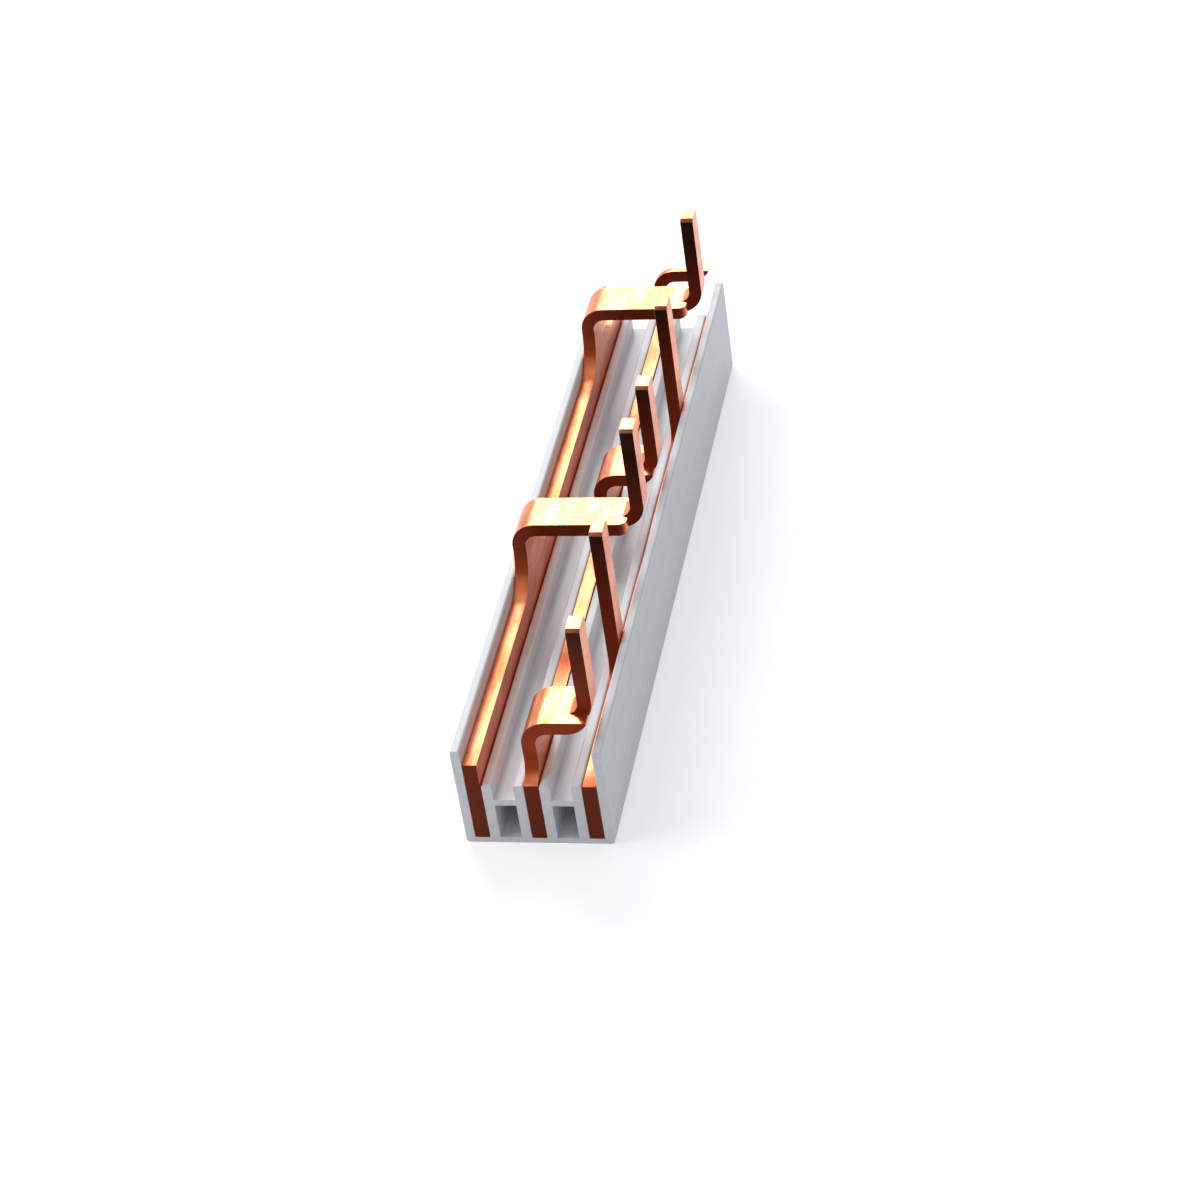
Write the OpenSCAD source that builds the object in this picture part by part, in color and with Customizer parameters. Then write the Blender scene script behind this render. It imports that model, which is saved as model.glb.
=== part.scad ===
// Three-phase pin comb busbar: an open plastic profile with three stamped
// copper combs standing on edge in its channels. X runs across the profile,
// Y along it and Z up. The origin is at the middle of the underside. Phase 1
// lies at -X and phase 3 at +X, where all the pins stand.

/* [Pitch and length] */
// Distance from one pin to the next, one device module
module_pitch = 17.8; // [17.5:0.1:18]
// Pins that stand along the whole busbar, before the far cut
pin_count = 6; // [3:1:12]
// Middle of the first pin from the near end
first_pin_y = 5.8; // [4.5:0.1:8]
// Width that the far cut leaves of the next crossover
far_stub_w = 1; // [0.6:0.1:1.8]

/* [Copper] */
// Thickness of the copper strip
strip_t = 1.8; // [1.2:0.1:2.5]
// Radius inside each bend of the strip
bend_inner_r = 1.6; // [0.6:0.1:2.2]
// Height of the rails of phases 2 and 3
rail_h = 8.5; // [6:0.1:10]
// Height by which the phase 1 rail is taller
phase_1_rail_rise = 3.3; // [2:0.1:4.5]
// Top of the phase 1 crossovers above their rail
phase_1_cross_rise = 9.5; // [8:0.1:12]
// Top of the phase 2 crossovers above their rail
phase_2_cross_rise = 8.3; // [8:0.1:12]
// Width of the phase 1 crossovers
phase_1_cross_w = 6.2; // [5.5:0.1:8]
// Width of the phase 2 crossovers
phase_2_cross_w = 7.3; // [5.5:0.1:8]
// Step from the near edge of a crossover to its pin
pin_setback = 1.9; // [1.8:0.1:2.2]
// Distance by which the phase 1 pins stand outside the others
phase_1_pin_offset = 1.4; // [0:0.1:1.6]

/* [Pins] */
// Width of a pin along the busbar
pin_w = 3.3; // [2.5:0.1:3.6]
// Length of the phase 1 pins above their crossovers
phase_1_pin_l = 13.5; // [10:0.1:18]
// Length of the phase 2 pins above their crossovers
phase_2_pin_l = 13; // [10:0.1:18]
// Length of the phase 3 pins above their rail
phase_3_pin_l = 22.8; // [20:0.1:28]
// Lead-in chamfer at the corners of a pin's tip
tip_chamfer = 0.4; // [0.1:0.1:0.8]
// Radius of the rounded shoulders beside a pin
shoulder_r = 1.1; // [0.5:0.1:1.4]

/* [Tooth roots] */
// Root radius where a phase 1 tooth leaves its rail
phase_1_root_r = 5.5; // [1:0.1:6.5]
// Root radius where a phase 2 tooth leaves its rail
phase_2_root_r = 2.6; // [1:0.1:4]
// Root radius where a phase 3 pin leaves its rail
phase_3_root_r = 2.6; // [1:0.1:4]

/* [Profile] */
// Overall width of the profile
profile_w = 19.2; // [18:0.1:24]
// Height of the two outer walls
profile_h = 14.8; // [13:0.1:15.5]
// Thickness of an outer wall
outer_wall_t = 1.2; // [0.8:0.1:1.5]
// Thickness of the floor
floor_t = 0.8; // [0.6:0.1:1.5]
// Thickness of an inner wall
inner_wall_t = 1.3; // [0.8:0.1:1.6]
// Thickness of the web between two inner walls
web_t = 0.9; // [0.6:0.1:1.5]
// Depth of the open groove above a web
groove_d = 2.3; // [1:0.1:3.5]
// Play on each side of a rail in its channel
channel_play = 0.1; // [0.05:0.05:0.2]
// Rounding at the tops of the walls
wall_tip_r = 0.3; // [0.1:0.05:0.4]
// Rounding of the two long lower edges
lower_edge_r = 0.5; // [0.2:0.1:0.7]

/* [Hidden] */
$fn = 48;
// Overrun of every cutting solid
cut = 1;
// Depth to which a tooth's outline reaches down into its rail
rail_bite = rail_h / 4;

// Rails, from the outer walls inwards
rail_x = profile_w / 2 - outer_wall_t - channel_play - strip_t / 2;
rail_top = floor_t + rail_h;
phase_1_rail_h = rail_h + phase_1_rail_rise;
// Inner walls stand level with the two lower rails
inner_top = rail_top;
channel_half = strip_t / 2 + channel_play;

cross_lead = pin_w / 2 + pin_setback;
profile_l = first_pin_y - cross_lead + pin_count * module_pitch + far_stub_w;

// Order of the phases along the pins: 2, 3, 1
phase_2_first = 0;
phase_3_first = 1;
phase_1_first = 2;

// Middle of each pin of one phase, up to a last position
function pin_ys(first, last) =
    [for (i = [first : 3 : last]) first_pin_y + i * module_pitch];

// A solid drawn across the strip, with Y and Z as its plane
module across(x, t) {
    translate([x - t / 2, 0, 0])
        rotate([90, 0, 90])
            linear_extrude(height = t)
                children();
}

// A solid drawn along the busbar, with X and Z as its plane
module along(y, l) {
    translate([0, y + l, 0])
        rotate([90, 0, 0])
            linear_extrude(height = l)
                children();
}

// Quarter of a ring about the origin, in the quadrant of the two signs
module quarter_ring(inner_r, sx, sy) {
    outer_r = inner_r + strip_t;
    intersection() {
        difference() {
            circle(r = outer_r);
            circle(r = inner_r);
        }
        translate([sx > 0 ? 0 : -outer_r, sy > 0 ? 0 : -outer_r])
            square(outer_r);
    }
}

// The bent strip seen along the busbar: up from the rail, across to
// the pin and up again to the tip
module bent_strip(x0, x1, z0, cross_top, tip) {
    outer_r = bend_inner_r + strip_t;
    first_x = x0 - strip_t / 2 + outer_r;
    second_x = x1 + strip_t / 2 - outer_r;
    translate([x0 - strip_t / 2, z0])
        square([strip_t, cross_top - outer_r - z0]);
    translate([first_x, cross_top - outer_r])
        quarter_ring(bend_inner_r, -1, 1);
    translate([first_x, cross_top - strip_t])
        square([second_x - first_x, strip_t]);
    translate([second_x, cross_top - strip_t + outer_r])
        quarter_ring(bend_inner_r, 1, -1);
    translate([x1 - strip_t / 2, cross_top - strip_t + outer_r])
        square([strip_t, tip - cross_top + strip_t - outer_r]);
}

// Outline of a pin seen across the busbar, with a chamfered tip
module pin_outline(y, z0, z1) {
    half = pin_w / 2;
    polygon([
        [y - half, z0],
        [y + half, z0],
        [y + half, z1 - tip_chamfer],
        [y + half - tip_chamfer, z1],
        [y - half + tip_chamfer, z1],
        [y - half, z1 - tip_chamfer]
    ]);
}

// Upright of a tooth seen across the busbar, with both root radii
module root_outline(y0, w, z0, z1, r) {
    difference() {
        translate([y0 - r, z0 - rail_bite])
            square([w + 2 * r, z1 - z0 + rail_bite]);
        for (side = [-1, 1]) {
            yc = side < 0 ? y0 - r : y0 + w + r;
            translate([yc, z0 + r])
                circle(r = r);
            translate([yc - r, z0 + r])
                square([2 * r, z1 - z0]);
        }
    }
}

// Crossover seen from above, with round shoulders beside the pin
module cross_outline(y0, w, x0, x1) {
    translate([x0, y0])
        square([x1 - shoulder_r - x0, w]);
    translate([x0, y0 + shoulder_r])
        square([x1 - x0, w - 2 * shoulder_r]);
    for (y = [y0 + shoulder_r, y0 + w - shoulder_r])
        translate([x1 - shoulder_r, y])
            circle(r = shoulder_r);
}

// Straight rail of a comb, on the floor of its channel
module rail(x, h) {
    translate([x - strip_t / 2, 0, floor_t])
        cube([strip_t, profile_l, h]);
}

// One bent tooth: upright, crossover and, where the far cut left it, pin
module bent_tooth(x0, x1, rail_z, root_r, cross_top, cross_w, tip, y, with_pin) {
    y0 = y - cross_lead;
    bend_r = bend_inner_r + strip_t;
    shoulder_x = x1 + strip_t / 2 - bend_r + shoulder_r;
    intersection() {
        along(y0 - root_r, cross_w + 2 * root_r)
            bent_strip(x0, x1, rail_z - rail_bite, cross_top, tip);
        union() {
            across(x0 + bend_r, 2 * bend_r + strip_t)
                root_outline(y0, cross_w, rail_z, cross_top, root_r);
            translate([0, 0, cross_top - strip_t - cut])
                linear_extrude(height = strip_t + cut)
                    cross_outline(y0, cross_w, x0, shoulder_x);
            if (with_pin)
                across(x1, 2 * bend_r)
                    pin_outline(y, cross_top - strip_t, tip);
        }
    }
}

// What lies between the two cut ends of the busbar
module between_ends() {
    width = profile_w + 2 * cut;
    height = rail_top + phase_3_pin_l + phase_1_pin_l;
    intersection() {
        children();
        translate([-width / 2, 0, 0])
            cube([width, profile_l, height]);
    }
}

// Moves what starts at the near end to the middle of the busbar
module centred() {
    translate([0, -profile_l / 2, 0])
        children();
}

// A comb with bent teeth: rail, teeth and the stub at the far cut
module bent_comb(x0, x1, h, root_r, cross_rise, cross_w, pin_l, first) {
    rail_z = floor_t + h;
    cross_top = rail_z + cross_rise;
    between_ends() {
        union() {
            rail(x0, h);
            for (y = pin_ys(first, pin_count - 1))
                bent_tooth(x0, x1, rail_z, root_r, cross_top, cross_w,
                           cross_top + pin_l, y, true);
            for (y = pin_ys(first, pin_count))
                if (y > profile_l)
                    bent_tooth(x0, x1, rail_z, root_r, cross_top, cross_w,
                               cross_top + pin_l, y, false);
        }
    }
}

// Pair of inner walls with the web between them
module inner_pair(x0, x1) {
    web_z = inner_top - groove_d - web_t;
    for (x = [x0, x1 - inner_wall_t])
        translate([x, 0])
            wall_section(inner_wall_t, inner_top);
    translate([x0 + inner_wall_t / 2, web_z])
        square([x1 - x0 - inner_wall_t, web_t]);
}

// One upright wall of the profile, with a rounded top
module wall_section(t, h) {
    square([t, h - wall_tip_r]);
    translate([wall_tip_r, 0])
        square([t - 2 * wall_tip_r, h]);
    for (x = [wall_tip_r, t - wall_tip_r])
        translate([x, h - wall_tip_r])
            circle(r = wall_tip_r, $fn = 24);
}

// Cross-section of the whole profile
module profile_section() {
    half = profile_w / 2;
    difference() {
        union() {
            translate([-half, 0])
                square([profile_w, floor_t]);
            translate([-half, 0])
                wall_section(outer_wall_t, profile_h);
            translate([half - outer_wall_t, 0])
                wall_section(outer_wall_t, profile_h);
            inner_pair(-rail_x + channel_half, -channel_half);
            inner_pair(channel_half, rail_x - channel_half);
        }
        for (side = [-1, 1])
            translate([side * half, 0])
                difference() {
                    square(2 * lower_edge_r, center = true);
                    translate([-side * lower_edge_r, lower_edge_r])
                        circle(r = lower_edge_r, $fn = 24);
                }
    }
}

module insulating_profile() {
    color("gainsboro")
        centred()
            along(0, profile_l)
                profile_section();
}

module phase_1_comb() {
    color("chocolate")
        centred()
            bent_comb(-rail_x, rail_x + phase_1_pin_offset, phase_1_rail_h,
                      phase_1_root_r, phase_1_cross_rise, phase_1_cross_w,
                      phase_1_pin_l, phase_1_first);
}

module phase_2_comb() {
    color("peru")
        centred()
            bent_comb(0, rail_x, rail_h, phase_2_root_r, phase_2_cross_rise,
                      phase_2_cross_w, phase_2_pin_l, phase_2_first);
}

// One straight tooth of phase 3: root radii and pin
module straight_tooth(y) {
    across(rail_x, strip_t) {
        root_outline(y - pin_w / 2, pin_w, rail_top,
                     rail_top + 2 * phase_3_root_r, phase_3_root_r);
        pin_outline(y, rail_top - rail_bite, rail_top + phase_3_pin_l);
    }
}

// Phase 3 lies under the row of pins, so its teeth stand straight up
module phase_3_comb() {
    color("sandybrown")
        centred()
            between_ends() {
                rail(rail_x, rail_h);
                for (y = pin_ys(phase_3_first, pin_count - 1))
                    straight_tooth(y);
            }
}

insulating_profile();
phase_1_comb();
phase_2_comb();
phase_3_comb();
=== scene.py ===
"""Dress and light the three-phase comb busbar.

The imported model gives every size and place: an open plastic profile with three
stamped copper combs in its channels. Here the profile is extruded again with
softened edges, each comb gets the rounded edges of a stamping, and every
surface gets its finish. All lengths are in metres, in the frame's own axes.
"""

from __future__ import annotations

import logging
import math
from dataclasses import dataclass
from enum import Enum

import bmesh
import bpy
from mathutils import Matrix, Vector


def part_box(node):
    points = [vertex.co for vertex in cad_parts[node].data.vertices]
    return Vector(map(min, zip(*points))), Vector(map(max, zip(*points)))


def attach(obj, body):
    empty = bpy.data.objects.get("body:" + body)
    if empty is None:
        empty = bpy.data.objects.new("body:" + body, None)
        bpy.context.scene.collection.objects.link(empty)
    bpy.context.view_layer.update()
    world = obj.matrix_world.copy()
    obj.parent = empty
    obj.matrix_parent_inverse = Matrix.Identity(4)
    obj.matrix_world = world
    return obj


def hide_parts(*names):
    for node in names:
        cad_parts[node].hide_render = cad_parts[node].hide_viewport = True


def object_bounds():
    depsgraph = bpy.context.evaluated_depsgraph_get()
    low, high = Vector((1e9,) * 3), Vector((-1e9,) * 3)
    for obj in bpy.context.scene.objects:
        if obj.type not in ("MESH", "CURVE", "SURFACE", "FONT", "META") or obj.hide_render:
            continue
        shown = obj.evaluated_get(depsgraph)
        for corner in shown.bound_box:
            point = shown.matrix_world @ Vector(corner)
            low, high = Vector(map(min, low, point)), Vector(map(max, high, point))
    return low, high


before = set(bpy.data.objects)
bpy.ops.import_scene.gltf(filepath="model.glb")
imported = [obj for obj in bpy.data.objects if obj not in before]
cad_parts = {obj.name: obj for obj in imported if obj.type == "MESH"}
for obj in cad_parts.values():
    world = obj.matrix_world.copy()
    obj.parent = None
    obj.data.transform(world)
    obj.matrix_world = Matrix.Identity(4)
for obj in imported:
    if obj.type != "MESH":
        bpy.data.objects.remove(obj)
CAD_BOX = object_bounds()

LOG = logging.getLogger("comb_busbar")
MM = 0.001
# Name of the corner attribute that says how a comb's surface was made, which also sets where its
# painted shade falls
MADE = "made"
# Two faces at a smaller angle than this, in radians, are one flat face
FLAT = math.radians(0.4)
# Noise lies almost wholly between these two values
NOISE_SPAN = (0.3, 0.7)
Colour = tuple[float, float, float]
Point = tuple[float, float]


class Phase(Enum):
    """The three combs, by the name of their node in the frame."""

    ONE = "phase_1_comb"
    TWO = "phase_2_comb"
    THREE = "phase_3_comb"

    @property
    def slot(self) -> str:
        """Name of the comb's material slot in the record."""
        return "copper_" + self.value.removesuffix("_comb")


class Making(Enum):
    """How a face of a comb was made, as the value of its attribute.

    From 0 to 1 the surface turns from bright and smooth to torn, and its colour to a dark painted
    shade;
    past 1 the painted shade turns darker still.
    """

    ROLLED = 0.0
    # Slit rail tops: a little rougher, and 0.3 of the way to the dark painted shade
    SLIT = 0.3
    PUNCHED = 1.0
    # Sawn ends: torn, with the painted shade 0.6 of the way to its deepest
    SAWN = 1.6


# Shader helpers


class ShaderGraph:
    """A material's node tree, with short calls for the nodes used here."""

    # Places of a mix node's sockets, whose names aren't unique
    MIX_VALUES = (2, 3)
    MIX_COLOURS = (6, 7)
    MIX_RESULT = 2

    def __init__(self, name: str) -> None:
        """Start an empty material.

        Args:
            name: name of the material.
        """
        self.material = bpy.data.materials.new(name)
        self.material.use_nodes = True
        self.tree = self.material.node_tree
        self.tree.nodes.clear()

    def add(self, kind: str, **sockets: object) -> bpy.types.Node:
        """Add a node and set inputs by name.

        Args:
            kind: Blender's name of the node's class.
            **sockets: input names, with _ for a space, and their values.

        Returns:
            The new node.
        """
        node = self.tree.nodes.new(kind)
        for name, value in sockets.items():
            node.inputs[name.replace("_", " ")].default_value = value
        return node

    def join(self, source: bpy.types.NodeSocket, node: bpy.types.Node, name: str | int) -> None:
        """Connect an output to a named or numbered input of a node."""
        self.tree.links.new(source, node.inputs[name])

    def place(self, scale: Colour, shift: float = 0.0) -> bpy.types.NodeSocket:
        """Object coordinates, scaled along each axis.

        Args:
            scale: factors along X, Y and Z.
            shift: offset along every axis, in the scaled units.

        Returns:
            The vector output.
        """
        source = self.add("ShaderNodeTexCoord")
        mapping = self.add("ShaderNodeMapping", Scale=scale, Location=(shift, shift, shift))
        self.join(source.outputs["Object"], mapping, "Vector")
        return mapping.outputs["Vector"]

    def noise(self, vector: bpy.types.NodeSocket, detail: float) -> bpy.types.NodeSocket:
        """Noise of unit scale.

        Args:
            vector: coordinates, already scaled.
            detail: number of octaves.

        Returns:
            The factor output.
        """
        node = self.add("ShaderNodeTexNoise", Scale=1.0, Detail=detail, Roughness=0.55)
        self.join(vector, node, "Vector")
        return node.outputs["Fac"]

    def spread(self, value: bpy.types.NodeSocket, source: Point, target: Point) -> bpy.types.NodeSocket:
        """Map a value from one range onto another, clamped.

        Args:
            value: the value.
            source: the two values that give the ends of the target.
            target: results at those two values.

        Returns:
            The result output.
        """
        node = self.add("ShaderNodeMapRange")
        node.inputs["From Min"].default_value, node.inputs["From Max"].default_value = source
        node.inputs["To Min"].default_value, node.inputs["To Max"].default_value = target
        self.join(value, node, "Value")
        return node.outputs["Result"]

    def blend(
        self,
        factor: bpy.types.NodeSocket,
        first: bpy.types.NodeSocket | Colour,
        second: bpy.types.NodeSocket | Colour,
    ) -> bpy.types.NodeSocket:
        """Mix two colours.

        Args:
            factor: share of the second colour.
            first: colour output or value.
            second: colour output or value.

        Returns:
            The mixed colour output.
        """
        node = self.add("ShaderNodeMix")
        node.data_type = "RGBA"
        self.join(factor, node, 0)
        for index, colour in zip(self.MIX_COLOURS, (first, second)):
            if isinstance(colour, tuple):
                node.inputs[index].default_value = (*colour, 1.0)
            else:
                self.join(colour, node, index)
        return node.outputs[self.MIX_RESULT]

    def blend_values(
        self,
        factor: bpy.types.NodeSocket,
        first: bpy.types.NodeSocket,
        second: bpy.types.NodeSocket,
    ) -> bpy.types.NodeSocket:
        """Mix two values.

        Args:
            factor: share of the second value.
            first: value output.
            second: value output.

        Returns:
            The mixed value output.
        """
        node = self.add("ShaderNodeMix")
        self.join(factor, node, 0)
        for index, value in zip(self.MIX_VALUES, (first, second)):
            self.join(value, node, index)
        return node.outputs[0]

    def calculate(
        self,
        operation: str,
        first: bpy.types.NodeSocket,
        second: bpy.types.NodeSocket,
    ) -> bpy.types.NodeSocket:
        """Join two values by one sum.

        Args:
            operation: Blender's name of the operation.
            first: first value.
            second: second value.

        Returns:
            The value output.
        """
        node = self.add("ShaderNodeMath")
        node.operation = operation
        self.join(first, node, 0)
        self.join(second, node, 1)
        return node.outputs[0]

    def bump(
        self,
        height: bpy.types.NodeSocket,
        depth: float,
        normal: bpy.types.NodeSocket | None = None,
    ) -> bpy.types.NodeSocket:
        """Bump from a height of 0 to 1.

        Args:
            height: the height output.
            depth: real depth of a height of 1.
            normal: normal to start from, if any.

        Returns:
            The normal output.
        """
        node = self.add("ShaderNodeBump", Strength=1.0, Distance=depth)
        self.join(height, node, "Height")
        if normal is not None:
            self.join(normal, node, "Normal")
        return node.outputs["Normal"]

    def finish(self, shader: bpy.types.Node) -> bpy.types.Material:
        """Send a shader to the output.

        Args:
            shader: the shader's node.

        Returns:
            The finished material.
        """
        output = self.add("ShaderNodeOutputMaterial")
        self.join(shader.outputs[0], output, "Surface")
        return self.material


def seen_directly(tree: bpy.types.NodeTree) -> bpy.types.NodeSocket:
    """A value of 1 for camera, glossy and transmission rays.

    Args:
        tree: the node tree to add to.

    Returns:
        The value output.
    """
    path = tree.nodes.new("ShaderNodeLightPath")
    total = path.outputs["Is Camera Ray"]
    for name in ("Is Glossy Ray", "Is Transmission Ray"):
        larger = tree.nodes.new("ShaderNodeMath")
        larger.operation = "MAXIMUM"
        tree.links.new(total, larger.inputs[0])
        tree.links.new(path.outputs[name], larger.inputs[1])
        total = larger.outputs[0]
    return total


# Finishes


@dataclass(frozen=True)
class CopperFinish:
    """Bare rolled copper, tarnished in patches, with a dark painted shade on its punched and sawn faces
    that deepens higher up.
    """

    bright: Colour = (0.86, 0.30, 0.14)
    tarnished: Colour = (0.67, 0.155, 0.052)
    # Dark red-brown painted shade on the faces that point along Y
    punched_and_painted_shade: Colour = (0.21, 0.034, 0.011)
    # Near-black painted shade on the sawn ends and the upper parts of the punched faces
    painted_deep_shade: Colour = (0.028, 0.009, 0.006)
    rolled_roughness: Point = (0.20, 0.36)
    punched_roughness: Point = (0.34, 0.52)
    line_scale: Colour = (5200.0, 160.0, 5200.0)
    patch_scale: Colour = (420.0, 150.0, 420.0)
    patch_span: Point = (0.40, 0.66)
    tear_scale: Colour = (1700.0, 1700.0, 900.0)
    # Heights over which the painted shade deepens to near black
    painted_shade_heights: Point = (14.0 * MM, 31.0 * MM)
    line_depth: float = 0.004 * MM
    tear_depth: float = 0.025 * MM

    def build(self, name: str, shift: float) -> bpy.types.Material:
        """Make the material of one comb.

        Args:
            name: name of the material.
            shift: offset that gives each comb its own patches.

        Returns:
            The material.
        """
        graph = ShaderGraph(name)
        shader = graph.add("ShaderNodeBsdfPrincipled", Metallic=1.0)
        lines = graph.noise(graph.place(self.line_scale), 2.0)
        patches = graph.noise(graph.place(self.patch_scale, shift), 4.0)
        tears = graph.noise(graph.place(self.tear_scale), 3.0)
        made = self.making(graph)
        dark = Making.PUNCHED.value
        # The punched share gives the torn roughness and bumps, and also the dark painted shade colour
        punched_and_painted_shade = graph.spread(made, (Making.ROLLED.value, dark), (0.0, 1.0))
        # The sawn ends and the height deepen the painted shade towards near black
        painted_deep_shade = graph.spread(made, (dark, 2 * dark), (0.0, 1.0))
        painted_deep_shade = graph.calculate("MAXIMUM", painted_deep_shade, self.painted_shade_by_height(graph))

        tarnish = graph.spread(patches, self.patch_span, (0.0, 1.0))
        rolled = graph.blend(tarnish, self.bright, self.tarnished)
        # Painted shade colour of the punched faces, deepening to near black higher up
        edge = graph.blend(painted_deep_shade, self.punched_and_painted_shade, self.painted_deep_shade)
        graph.join(graph.blend(punched_and_painted_shade, rolled, edge), shader, "Base Color")

        smooth = graph.spread(lines, NOISE_SPAN, self.rolled_roughness)
        torn = graph.spread(tears, NOISE_SPAN, self.punched_roughness)
        graph.join(graph.blend_values(punched_and_painted_shade, smooth, torn), shader, "Roughness")

        rolling = graph.bump(lines, self.line_depth)
        tearing = graph.calculate("MULTIPLY", tears, punched_and_painted_shade)
        graph.join(graph.bump(tearing, self.tear_depth, rolling), shader, "Normal")
        return graph.finish(shader)

    @staticmethod
    def making(graph: ShaderGraph) -> bpy.types.NodeSocket:
        """Read how the surface was made, from the mesh.

        Args:
            graph: the node tree to add to.

        Returns:
            The value output.
        """
        made = graph.add("ShaderNodeAttribute")
        made.attribute_name = MADE
        return made.outputs["Fac"]

    def painted_shade_by_height(self, graph: ShaderGraph) -> bpy.types.NodeSocket:
        """Painted shade that grows with the height above the underside.

        Args:
            graph: the node tree to add to.

        Returns:
            The value output.
        """
        source = graph.add("ShaderNodeTexCoord")
        axes = graph.add("ShaderNodeSeparateXYZ")
        graph.join(source.outputs["Object"], axes, "Vector")
        return graph.spread(axes.outputs["Z"], self.painted_shade_heights, (0.0, 1.0))


@dataclass(frozen=True)
class PlasticFinish:
    """Pale extruded plastic with faint die lines."""

    colour: Colour = (0.80, 0.81, 0.835)
    shade: Colour = (0.73, 0.74, 0.775)
    roughness: Point = (0.36, 0.48)
    line_scale: Colour = (1400.0, 7.0, 1400.0)
    line_span: Point = (0.35, 0.75)
    grain_scale: Colour = (2600.0, 2600.0, 2600.0)
    line_depth: float = 0.018 * MM
    grain_depth: float = 0.006 * MM

    def build(self) -> bpy.types.Material:
        """Make the material of the profile.

        Returns:
            The material.
        """
        graph = ShaderGraph("pale_plastic")
        shader = graph.add("ShaderNodeBsdfPrincipled", IOR=1.5, Specular_IOR_Level=0.45)
        lines = graph.noise(graph.place(self.line_scale), 2.0)
        grain = graph.noise(graph.place(self.grain_scale), 2.0)
        tone = graph.spread(lines, self.line_span, (0.0, 1.0))
        graph.join(graph.blend(tone, self.colour, self.shade), shader, "Base Color")
        graph.join(graph.spread(grain, NOISE_SPAN, self.roughness), shader, "Roughness")
        drawn = graph.bump(lines, self.line_depth)
        graph.join(graph.bump(grain, self.grain_depth, drawn), shader, "Normal")
        return graph.finish(shader)


@dataclass(frozen=True)
class FloorFinish:
    """A pale floor that shows white and keeps the soft shadow."""

    colour: Colour = (0.80, 0.80, 0.81)
    lift: float = 0.46

    def build(self) -> bpy.types.Material:
        """Make the material of the floor.

        Returns:
            The material.
        """
        graph = ShaderGraph("pale_floor")
        matte = graph.add("ShaderNodeBsdfDiffuse", Color=(*self.colour, 1.0))
        glow = graph.add("ShaderNodeEmission", Strength=self.lift)
        both = graph.add("ShaderNodeAddShader")
        graph.join(matte.outputs[0], both, 0)
        graph.join(glow.outputs[0], both, 1)
        choice = graph.add("ShaderNodeMixShader")
        graph.join(seen_directly(graph.tree), choice, 0)
        graph.join(matte.outputs[0], choice, 1)
        graph.join(both.outputs[0], choice, 2)
        return graph.finish(choice)


# Mesh helpers


def join_scene(piece: bpy.types.Object) -> bpy.types.Object:
    """Link an object into the scene and return it."""
    bpy.context.scene.collection.objects.link(piece)
    return piece


def soften_edges(piece: bpy.types.Object, width: float, angle: float) -> None:
    """Round a piece's sharp edges and even out its shading.

    Args:
        piece: the object.
        width: width of the rounding.
        angle: smallest angle between two faces that is rounded, in degrees.
    """
    bevel = piece.modifiers.new("soft_edges", "BEVEL")
    bevel.width = width
    bevel.segments = 2
    bevel.limit_method = "ANGLE"
    bevel.angle_limit = math.radians(angle)
    piece.modifiers.new("even_shading", "WEIGHTED_NORMAL")


def quarter_arc(centre: Point, radius: float, start: float, steps: int = 6) -> list[Point]:
    """Points of a quarter circle, counter-clockwise.

    Args:
        centre: centre of the circle.
        radius: its radius.
        start: angle of the first point, in degrees.
        steps: number of chords.

    Returns:
        The points, both ends included.
    """
    angles = [math.radians(start + 90.0 * step / steps) for step in range(steps + 1)]
    return [(centre[0] + radius * math.cos(a), centre[1] + radius * math.sin(a)) for a in angles]


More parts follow.
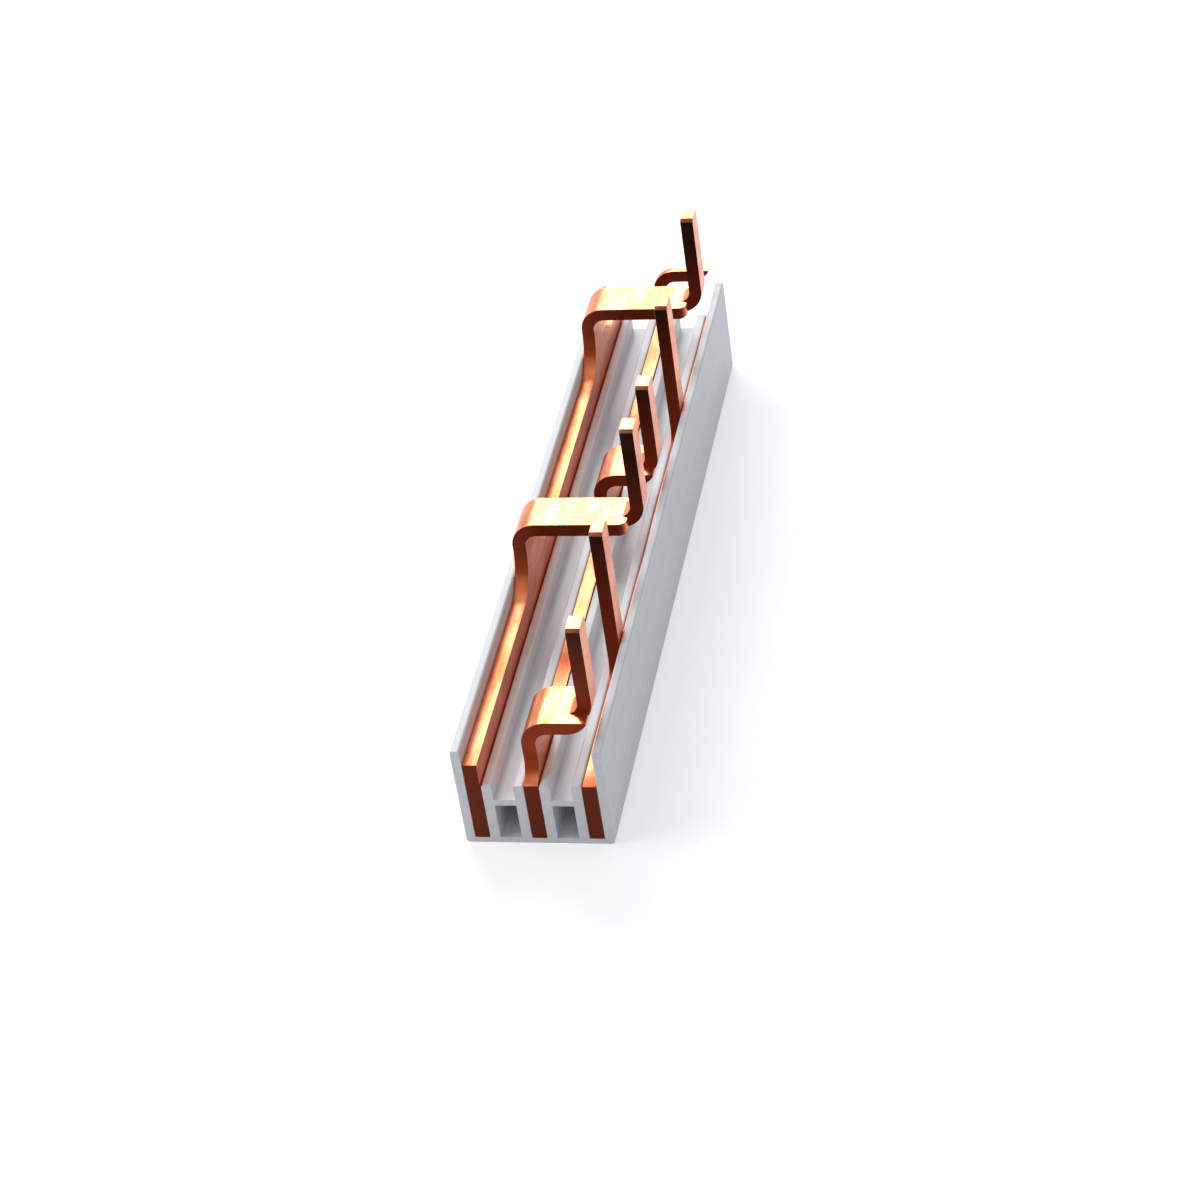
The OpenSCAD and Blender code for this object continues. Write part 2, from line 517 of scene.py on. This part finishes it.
class ExtrusionTree:
    """A Geometry Nodes tree that extrudes a closed section along Y."""

    LENGTH = "Length"
    FINISH = "Finish"

    def __init__(self) -> None:
        """Build the tree from the section's edges to the finished bar."""
        self.tree = bpy.data.node_groups.new("extruded_bar", "GeometryNodeTree")
        ports = self.tree.interface
        ports.new_socket("Section", in_out="INPUT", socket_type="NodeSocketGeometry")
        self.length = ports.new_socket(self.LENGTH, in_out="INPUT", socket_type="NodeSocketFloat")
        self.coat = ports.new_socket(self.FINISH, in_out="INPUT", socket_type="NodeSocketMaterial")
        ports.new_socket("Bar", in_out="OUTPUT", socket_type="NodeSocketGeometry")
        source = self.add("NodeGroupInput")
        outline = self.chain(source.outputs["Section"], "GeometryNodeMeshToCurve")
        filled = self.chain(outline, "GeometryNodeFillCurve")
        pushed = self.add("GeometryNodeExtrudeMesh")
        pushed.inputs["Individual"].default_value = False
        self.link(filled, pushed.inputs["Mesh"])
        self.link(source.outputs[self.LENGTH], pushed.inputs["Offset Scale"])
        base = self.chain(filled, "GeometryNodeFlipFaces")
        whole = self.add("GeometryNodeJoinGeometry")
        self.link(base, whole.inputs[0])
        self.link(pushed.outputs["Mesh"], whole.inputs[0])
        merged = self.chain(whole.outputs[0], "GeometryNodeMergeByDistance")
        merged.node.inputs["Distance"].default_value = 0.001 * MM
        laid = self.lay_down(merged, source.outputs[self.LENGTH])
        real = self.chain(laid, "GeometryNodeRealizeInstances")
        coated = self.chain(real, "GeometryNodeSetMaterial")
        self.link(source.outputs[self.FINISH], coated.node.inputs["Material"])
        self.link(coated, self.add("NodeGroupOutput").inputs[0])

    def add(self, kind: str) -> bpy.types.Node:
        """Add a node of one class."""
        return self.tree.nodes.new(kind)

    def link(self, source: bpy.types.NodeSocket, target: bpy.types.NodeSocket) -> None:
        """Connect an output to an input."""
        self.tree.links.new(source, target)

    def chain(self, source: bpy.types.NodeSocket, kind: str) -> bpy.types.NodeSocket:
        """Add a node fed by one output.

        Args:
            source: the output that feeds the node's first input.
            kind: Blender's name of the node's class.

        Returns:
            The node's first output.
        """
        node = self.add(kind)
        self.link(source, node.inputs[0])
        return node.outputs[0]

    def lay_down(
        self,
        bar: bpy.types.NodeSocket,
        length: bpy.types.NodeSocket,
    ) -> bpy.types.NodeSocket:
        """Turn the upright bar onto its underside, with its middle at the origin.

        Args:
            bar: the bar, which stands along Z.
            length: its length.

        Returns:
            The turned bar.
        """
        half = self.add("ShaderNodeMath")
        half.operation = "MULTIPLY"
        half.inputs[1].default_value = 0.5
        self.link(length, half.inputs[0])
        shift = self.add("ShaderNodeCombineXYZ")
        self.link(half.outputs[0], shift.inputs["Y"])
        turned = self.chain(bar, "GeometryNodeTransform")
        turned.node.inputs["Rotation"].default_value = (math.radians(90), 0.0, 0.0)
        self.link(shift.outputs[0], turned.node.inputs["Translation"])
        return turned

    def extrude(
        self,
        section: bpy.types.Object,
        length: float,
        finish: bpy.types.Material,
    ) -> bpy.types.Mesh:
        """Extrude a section and return the result as a plain mesh.

        Args:
            section: object with the section's edges in its X and Y plane.
            length: length of the bar.
            finish: its material.

        Returns:
            The bar's mesh.
        """
        modifier = section.modifiers.new("extrude", "NODES")
        modifier.node_group = self.tree
        modifier[self.length.identifier] = length
        modifier[self.coat.identifier] = finish
        graph = bpy.context.evaluated_depsgraph_get()
        mesh = bpy.data.meshes.new_from_object(section.evaluated_get(graph))
        section.modifiers.remove(modifier)
        return mesh


# Sub-assemblies


@dataclass
class InsulatingProfile:
    """The extruded plastic trough, drawn from its section.

    Walls are named from the middle outwards: a pair of inner walls with a web
    between them stands on each side of the middle channel.
    """

    length: float
    width: float
    height: float
    strip: float
    outer_wall: float = 1.2 * MM
    floor: float = 0.8 * MM
    inner_height: float = 9.3 * MM
    inner_wall: float = 1.3 * MM
    web: float = 0.9 * MM
    groove: float = 2.3 * MM
    play: float = 0.1 * MM
    tip_radius: float = 0.3 * MM
    edge_radius: float = 0.5 * MM
    cut_edge: float = 0.07 * MM
    sharp_angle: float = 50.0
    node: str = "insulating_profile"

    @classmethod
    def from_frame(cls) -> InsulatingProfile:
        """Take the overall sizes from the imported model.

        Returns:
            The profile.
        """
        low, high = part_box("insulating_profile")
        strip_low, strip_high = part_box(Phase.THREE.value)
        size = high - low
        return cls(size.y, size.x, size.z, strip_high.x - strip_low.x)

    def inner_spans(self) -> list[Point]:
        """Left and right edges of the two inner wall pairs, right one first.

        Returns:
            The spans.
        """
        near = self.strip / 2 + self.play
        far = self.width / 2 - self.outer_wall - 2 * self.play - self.strip
        return [(near, far), (-far, -near)]

    def wall_tip(self, left: float, right: float, top: float) -> list[Point]:
        """Rounded top of a wall, from its right side to its left.

        Args:
            left: X of its left side.
            right: X of its right side.
            top: height of its top.

        Returns:
            The points.
        """
        radius = self.tip_radius
        turn = quarter_arc((right - radius, top - radius), radius, 0)
        return turn + quarter_arc((left + radius, top - radius), radius, 90)

    def outline(self) -> list[Point]:
        """Outer outline of the section, counter-clockwise from its lower left.

        Returns:
            The points.
        """
        half, wall, edge = self.width / 2, self.outer_wall, self.edge_radius
        web_top = self.inner_height - self.groove
        points = quarter_arc((-half + edge, edge), edge, 180)
        points += quarter_arc((half - edge, edge), edge, 270)
        points += self.wall_tip(half - wall, half, self.height)
        points.append((half - wall, self.floor))
        for left, right in self.inner_spans():
            points.append((right, self.floor))
            points += self.wall_tip(right - self.inner_wall, right, self.inner_height)
            points.append((right - self.inner_wall, web_top))
            points.append((left + self.inner_wall, web_top))
            points += self.wall_tip(left, left + self.inner_wall, self.inner_height)
            points.append((left, self.floor))
        points.append((-half + wall, self.floor))
        return points + self.wall_tip(-half, -half + wall, self.height)

    def hollows(self) -> list[list[Point]]:
        """Outlines of the two closed hollows under the webs.

        Returns:
            The outlines.
        """
        top = self.inner_height - self.groove - self.web
        found = []
        for left, right in self.inner_spans():
            near, far = left + self.inner_wall, right - self.inner_wall
            found.append([(near, self.floor), (near, top), (far, top), (far, self.floor)])
        return found

    def section(self) -> bpy.types.Object:
        """The section's edges, as an object outside the scene's pieces.

        Returns:
            The object.
        """
        points: list[tuple[float, float, float]] = []
        edges: list[tuple[int, int]] = []
        for loop in [self.outline(), *self.hollows()]:
            first, count = len(points), len(loop)
            points += [(x, z, 0.0) for x, z in loop]
            edges += [(first + step, first + (step + 1) % count) for step in range(count)]
        mesh = bpy.data.meshes.new("profile_section")
        mesh.from_pydata(points, edges, [])
        return join_scene(bpy.data.objects.new("profile_section", mesh))

    def build(self, finish: PlasticFinish) -> bpy.types.Object:
        """Extrude the section and dress it.

        Args:
            finish: the plastic.

        Returns:
            The finished piece.
        """
        section = self.section()
        mesh = ExtrusionTree().extrude(section, self.length, finish.build())
        bpy.data.objects.remove(section)
        shape = bmesh.new()
        shape.from_mesh(mesh)
        bmesh.ops.dissolve_limit(shape, angle_limit=FLAT, verts=shape.verts, edges=shape.edges)
        bmesh.ops.recalc_face_normals(shape, faces=shape.faces)
        for face in shape.faces:
            face.smooth = True
        shape.to_mesh(mesh)
        shape.free()
        piece = join_scene(bpy.data.objects.new("plastic_profile", mesh))
        soften_edges(piece, self.cut_edge, self.sharp_angle)
        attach(piece, "root")
        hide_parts(self.node)
        return piece


@dataclass
class StampedComb:
    """One copper comb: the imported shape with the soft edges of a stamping."""

    phase: Phase
    solid: bpy.types.Object
    start: float
    end: float
    edge: float = 0.10 * MM
    sharp_angle: float = 40.0
    patch_step: float = 7.0
    saw_mark: float = 0.01 * MM
    rail_height: float = 13.0 * MM
    punched_slopes: Point = (0.25, 0.85)
    smooth_turn: float = math.radians(20.0)

    @classmethod
    def from_frame(cls, phase: Phase, solid: bpy.types.Object) -> StampedComb:
        """Take the comb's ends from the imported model.

        Args:
            phase: which comb it is.
            solid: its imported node.

        Returns:
            The comb.
        """
        low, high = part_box(phase.value)
        return cls(phase, solid, low.y, high.y)

    def build(self, finish: CopperFinish) -> bpy.types.Object:
        """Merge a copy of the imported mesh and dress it.

        Args:
            finish: the copper.

        Returns:
            The finished piece.
        """
        name = self.phase.slot
        mesh = self.solid.data.copy()
        mesh.name = name
        mesh.materials.clear()
        shift = self.patch_step * list(Phase).index(self.phase)
        mesh.materials.append(finish.build(name, shift))
        self.merge(mesh)
        piece = join_scene(bpy.data.objects.new(name, mesh))
        soften_edges(piece, self.edge, self.sharp_angle)
        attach(piece, "root")
        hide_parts(self.phase.value)
        return piece

    def merge(self, mesh: bpy.types.Mesh) -> None:
        """Join loose triangles into whole faces and note how each was made, which also sets its painted
        shade.

        Args:
            mesh: the mesh to change.
        """
        shape = bmesh.new()
        shape.from_mesh(mesh)
        bmesh.ops.remove_doubles(shape, verts=shape.verts, dist=0.001 * MM)
        bmesh.ops.dissolve_limit(shape, angle_limit=FLAT, verts=shape.verts, edges=shape.edges)
        values = {face: self.how_made(face) for face in shape.faces}
        layer = shape.loops.layers.float.new(MADE)
        for face in shape.faces:
            face.smooth = True
            for corner in face.loops:
                alike = [
                    values[other]
                    for other in corner.vert.link_faces
                    if other.normal.angle(face.normal) < self.smooth_turn
                ]
                corner[layer] = sum(alike) / len(alike)
        shape.to_mesh(mesh)
        shape.free()

    def how_made(self, face: bmesh.types.BMFace) -> float:
        """Tell how a face was made from where it points and lies, which also sets its painted shade.

        Args:
            face: the face.

        Returns:
            A value between those of a rolled and a punched face.
        """
        middle = face.calc_center_median()
        if min(middle.y - self.start, self.end - middle.y) < self.saw_mark:
            return Making.SAWN.value
        low, high = self.punched_slopes
        share = min(max((abs(face.normal.y) - low) / (high - low), 0.0), 1.0)
        # Slit rail tops take part of the dark painted shade, and faces along Y take all of it
        on_rail = face.normal.z > high and middle.z < self.rail_height
        plain = Making.SLIT if on_rail else Making.ROLLED
        return plain.value + share * (Making.PUNCHED.value - plain.value)


@dataclass(frozen=True)
class Lamp:
    """One soft rectangular lamp."""

    name: str
    place: tuple[float, float, float]
    size: Point
    power: float
    colour: Colour

    def hang(self, target: Vector) -> None:
        """Hang the lamp so that it faces a point.

        Args:
            target: the point.
        """
        data = bpy.data.lights.new(self.name, "AREA")
        data.shape = "RECTANGLE"
        data.size, data.size_y = self.size
        data.energy = self.power
        data.color = self.colour
        lamp = join_scene(bpy.data.objects.new(self.name, data))
        lamp.location = self.place
        aim = target - Vector(self.place)
        lamp.rotation_euler = aim.to_track_quat("-Z", "Y").to_euler()


@dataclass(frozen=True)
class Studio:
    """Floor, surroundings, lamps and camera."""

    yaw: float = math.radians(-15.10)
    pitch: float = math.radians(36.13)
    roll: float = math.radians(-9.07)
    place: tuple[float, float, float] = (90.0 * MM, -341.8 * MM, 255.2 * MM)
    lens: float = 93.53
    sensor: float = 36.0
    floor_size: float = 6.0
    sky: Colour = (0.96, 0.98, 1.0)
    sky_strength: float = 0.44
    lamps: tuple[Lamp, ...] = (
        Lamp("back_softbox", (-0.30, 0.75, 0.62), (0.52, 0.40), 4.5, (0.90, 0.96, 1.0)),
        Lamp("left_softbox", (-0.75, -0.10, 0.70), (0.60, 0.60), 3.2, (1.0, 1.0, 1.0)),
    )

    def build_floor(self) -> None:
        """Lay the floor under the busbar."""
        half = self.floor_size / 2
        mesh = bpy.data.meshes.new("floor")
        corners = [(-half, -half, 0), (half, -half, 0), (half, half, 0), (-half, half, 0)]
        mesh.from_pydata(corners, [], [(0, 1, 2, 3)])
        mesh.materials.append(FloorFinish().build())
        join_scene(bpy.data.objects.new("floor", mesh))

    def build_world(self) -> None:
        """Surround the scene with pale light that is white where it is seen."""
        world = bpy.data.worlds.new("studio")
        bpy.context.scene.world = world
        world.use_nodes = True
        tree = world.node_tree
        tree.nodes.clear()
        lit = tree.nodes.new("ShaderNodeBackground")
        lit.inputs["Color"].default_value = (*self.sky, 1.0)
        lit.inputs["Strength"].default_value = self.sky_strength
        white = tree.nodes.new("ShaderNodeBackground")
        white.inputs["Color"].default_value = (1.0, 1.0, 1.0, 1.0)
        choice = tree.nodes.new("ShaderNodeMixShader")
        output = tree.nodes.new("ShaderNodeOutputWorld")
        tree.links.new(seen_directly(tree), choice.inputs[0])
        tree.links.new(lit.outputs[0], choice.inputs[1])
        tree.links.new(white.outputs[0], choice.inputs[2])
        tree.links.new(choice.outputs[0], output.inputs["Surface"])

    def build_camera(self) -> None:
        """Place the camera, turned by its yaw, pitch and roll."""
        data = bpy.data.cameras.new("camera")
        data.lens = self.lens
        data.sensor_width = self.sensor
        data.clip_start = 0.01
        camera = join_scene(bpy.data.objects.new("camera", data))
        level = Vector((math.cos(self.yaw), -math.sin(self.yaw), 0.0))
        ahead = Vector((math.sin(self.yaw), math.cos(self.yaw), 0.0))
        forward = math.cos(self.pitch) * ahead - math.sin(self.pitch) * Vector((0.0, 0.0, 1.0))
        upward = level.cross(forward)
        right = math.cos(self.roll) * level + math.sin(self.roll) * upward
        top = math.cos(self.roll) * upward - math.sin(self.roll) * level
        turn = Matrix((right, top, -forward)).transposed().to_4x4()
        camera.matrix_world = Matrix.Translation(Vector(self.place)) @ turn
        bpy.context.scene.camera = camera

    def build(self, target: Vector) -> None:
        """Build the whole studio.

        Args:
            target: the point that the lamps face.
        """
        bpy.context.scene.view_settings.view_transform = "Standard"
        self.build_camera()
        self.build_floor()
        self.build_world()
        for lamp in self.lamps:
            lamp.hang(target)


def main() -> None:
    """Build the busbar and the studio in order."""
    pieces = [InsulatingProfile.from_frame().build(PlasticFinish())]
    copper = CopperFinish()
    for phase in Phase:
        comb = StampedComb.from_frame(phase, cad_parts[phase.value])
        pieces.append(comb.build(copper))
    for piece in pieces:
        LOG.info("built %s with %d faces", piece.name, len(piece.data.polygons))
    low, high = CAD_BOX
    Studio().build((low + high) / 2)


if __name__ == "__main__":
    logging.basicConfig(level=logging.INFO)
    main()
